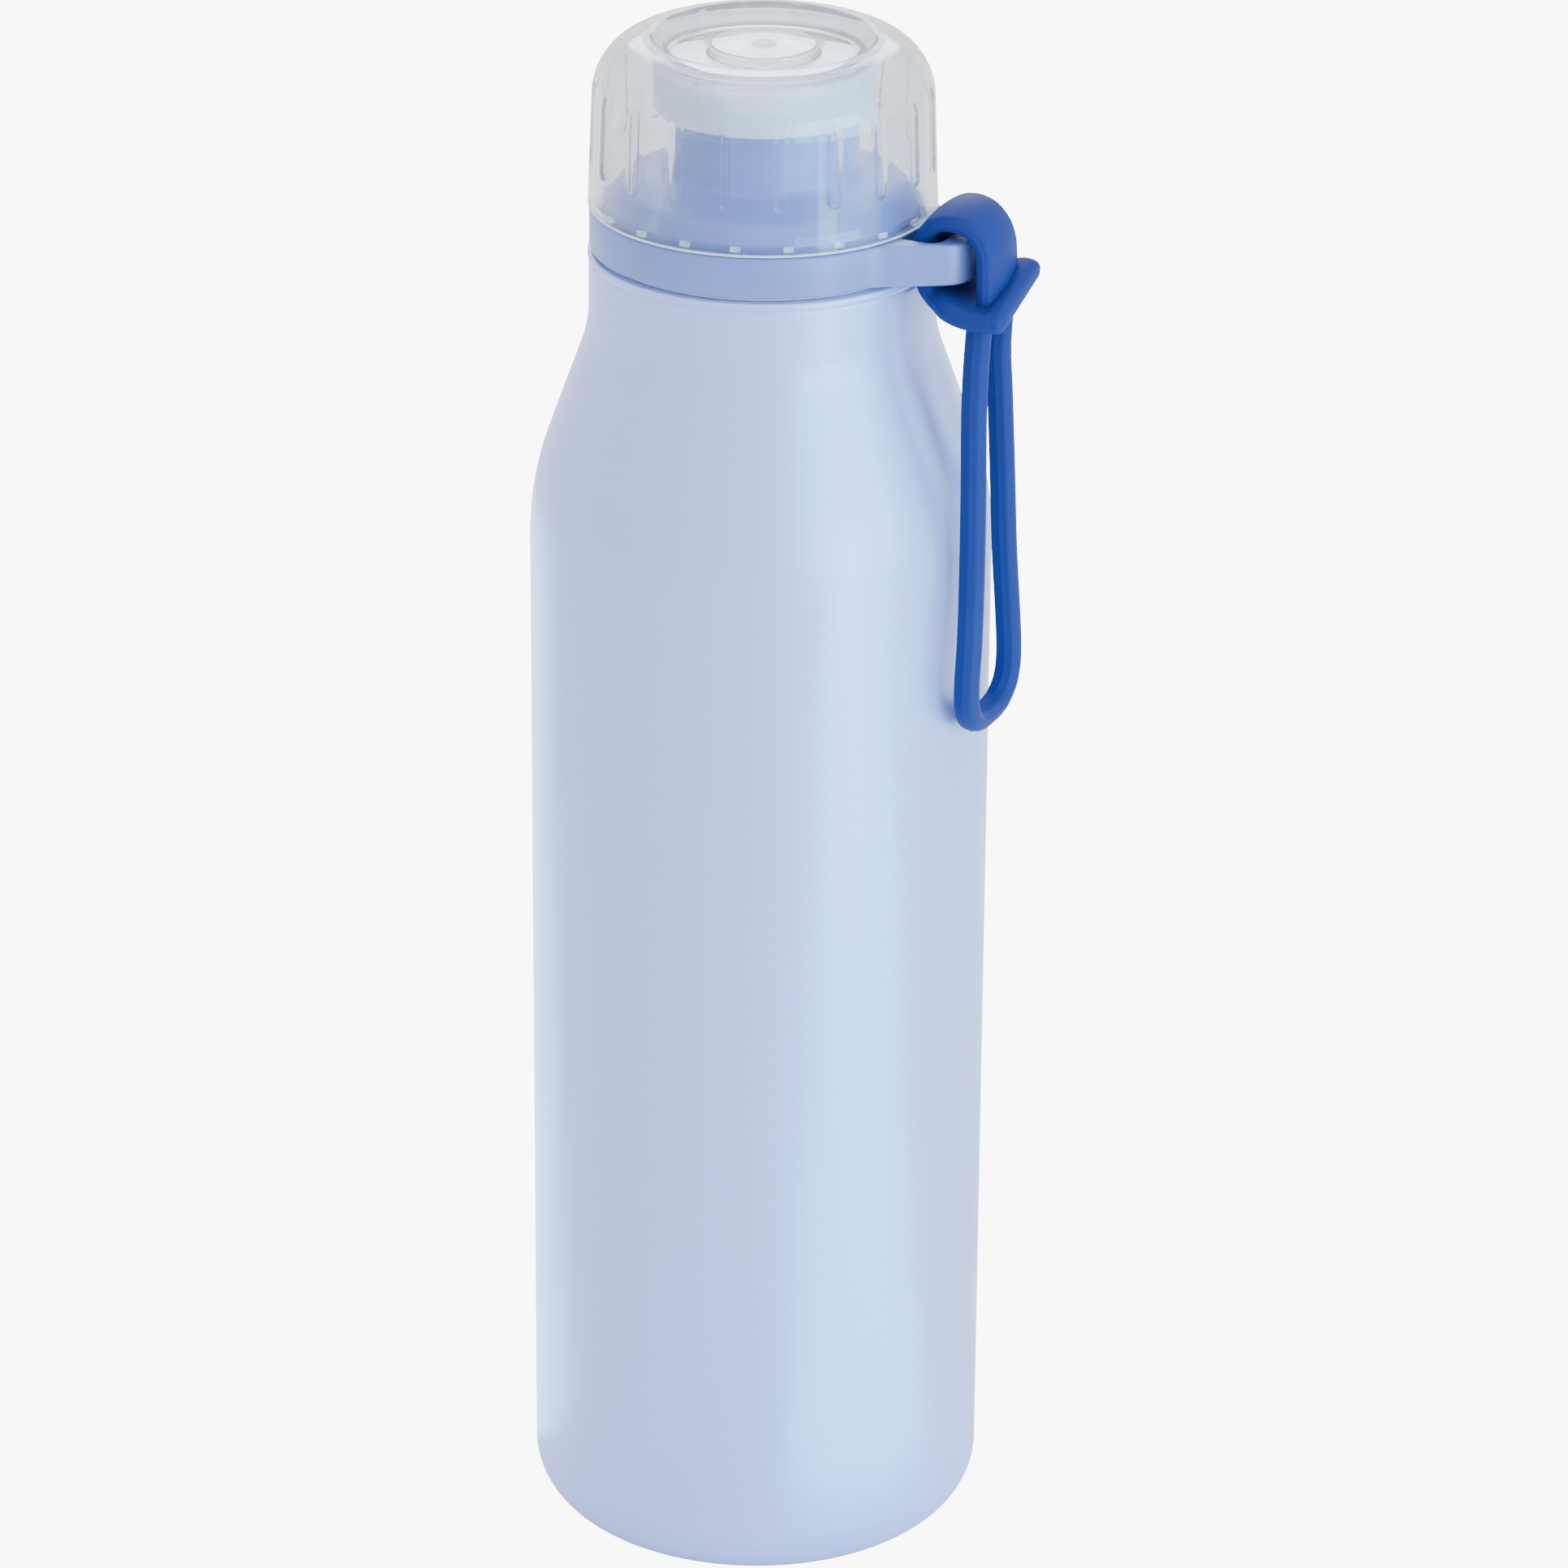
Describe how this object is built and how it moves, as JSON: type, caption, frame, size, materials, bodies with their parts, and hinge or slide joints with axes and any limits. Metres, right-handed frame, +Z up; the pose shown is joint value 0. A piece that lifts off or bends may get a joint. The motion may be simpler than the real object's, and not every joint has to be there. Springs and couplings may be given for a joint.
{
  "type": "aluminium sports drinking bottle with screw cap and carry strap",
  "caption": "Slim-necked metal drinking bottle with a wide spout under a clear screw-on overcap, a swivelling carry collar and a looped silicone strap.",
  "frame": {"origin": "on the bottle's axis, in the plane it stands on", "axes": "+Z up along the bottle's axis, +X towards the carry collar's lug and the hanging strap"},
  "size_m": [0.0805, 0.073, 0.2519],
  "materials": {
    "blue_lacquer": "satin, pale blue translucent lacquer over brushed aluminium",
    "violet_plastic": "satin moulded polypropylene, blue-violet",
    "clear_plastic": "clear glossy copolyester with a faint grey tint",
    "white_silicone": "matte translucent white silicone",
    "blue_silicone": "matte moulded silicone, deep blue"
  },
  "bodies": {
    "bottle": {"bottle_body": "blue_lacquer"},
    "gasket": {"neck_gasket": "white_silicone"},
    "lid": {"threaded_plug": "violet_plastic", "lid_dome": "violet_plastic", "spout": "violet_plastic"},
    "collar": {"carry_collar": "violet_plastic"},
    "strap": {"carry_strap": "blue_silicone"},
    "seal": {"cap_seal": "white_silicone"},
    "cap": {"clear_cap": "clear_plastic"}
  },
  "joints": [
    {"name": "lid_lift", "type": "slide", "parent": "bottle", "child": "gasket", "axis": [0, 0, 1], "range_m": [0, 0.0361]},
    {"name": "lid_turn", "type": "hinge", "parent": "gasket", "child": "lid", "pos_m": [0, 0, 0.218], "axis": [0, 0, 1], "range_deg": [0, 1080]},
    {"name": "collar_swivel", "type": "hinge", "parent": "lid", "child": "collar", "pos_m": [0, 0, 0.2215], "axis": [0, 0, 1], "continuous": true},
    {"name": "strap_swing", "type": "hinge", "parent": "collar", "child": "strap", "pos_m": [0.0343, 0, 0.2221], "axis": [0, -1, 0], "range_deg": [0, 110]},
    {"name": "cap_lift", "type": "slide", "parent": "lid", "child": "seal", "axis": [0, 0, 1], "range_m": [0, 0.0226]},
    {"name": "cap_turn", "type": "hinge", "parent": "seal", "child": "cap", "pos_m": [0, 0, 0.238], "axis": [0, 0, 1], "range_deg": [0, 900]}
  ],
  "couplings": [
    {"joint": "lid_lift", "follows": "lid_turn", "m_per_rad": 0.0019099},
    {"joint": "cap_lift", "follows": "cap_turn", "m_per_rad": 0.0014324}
  ]
}
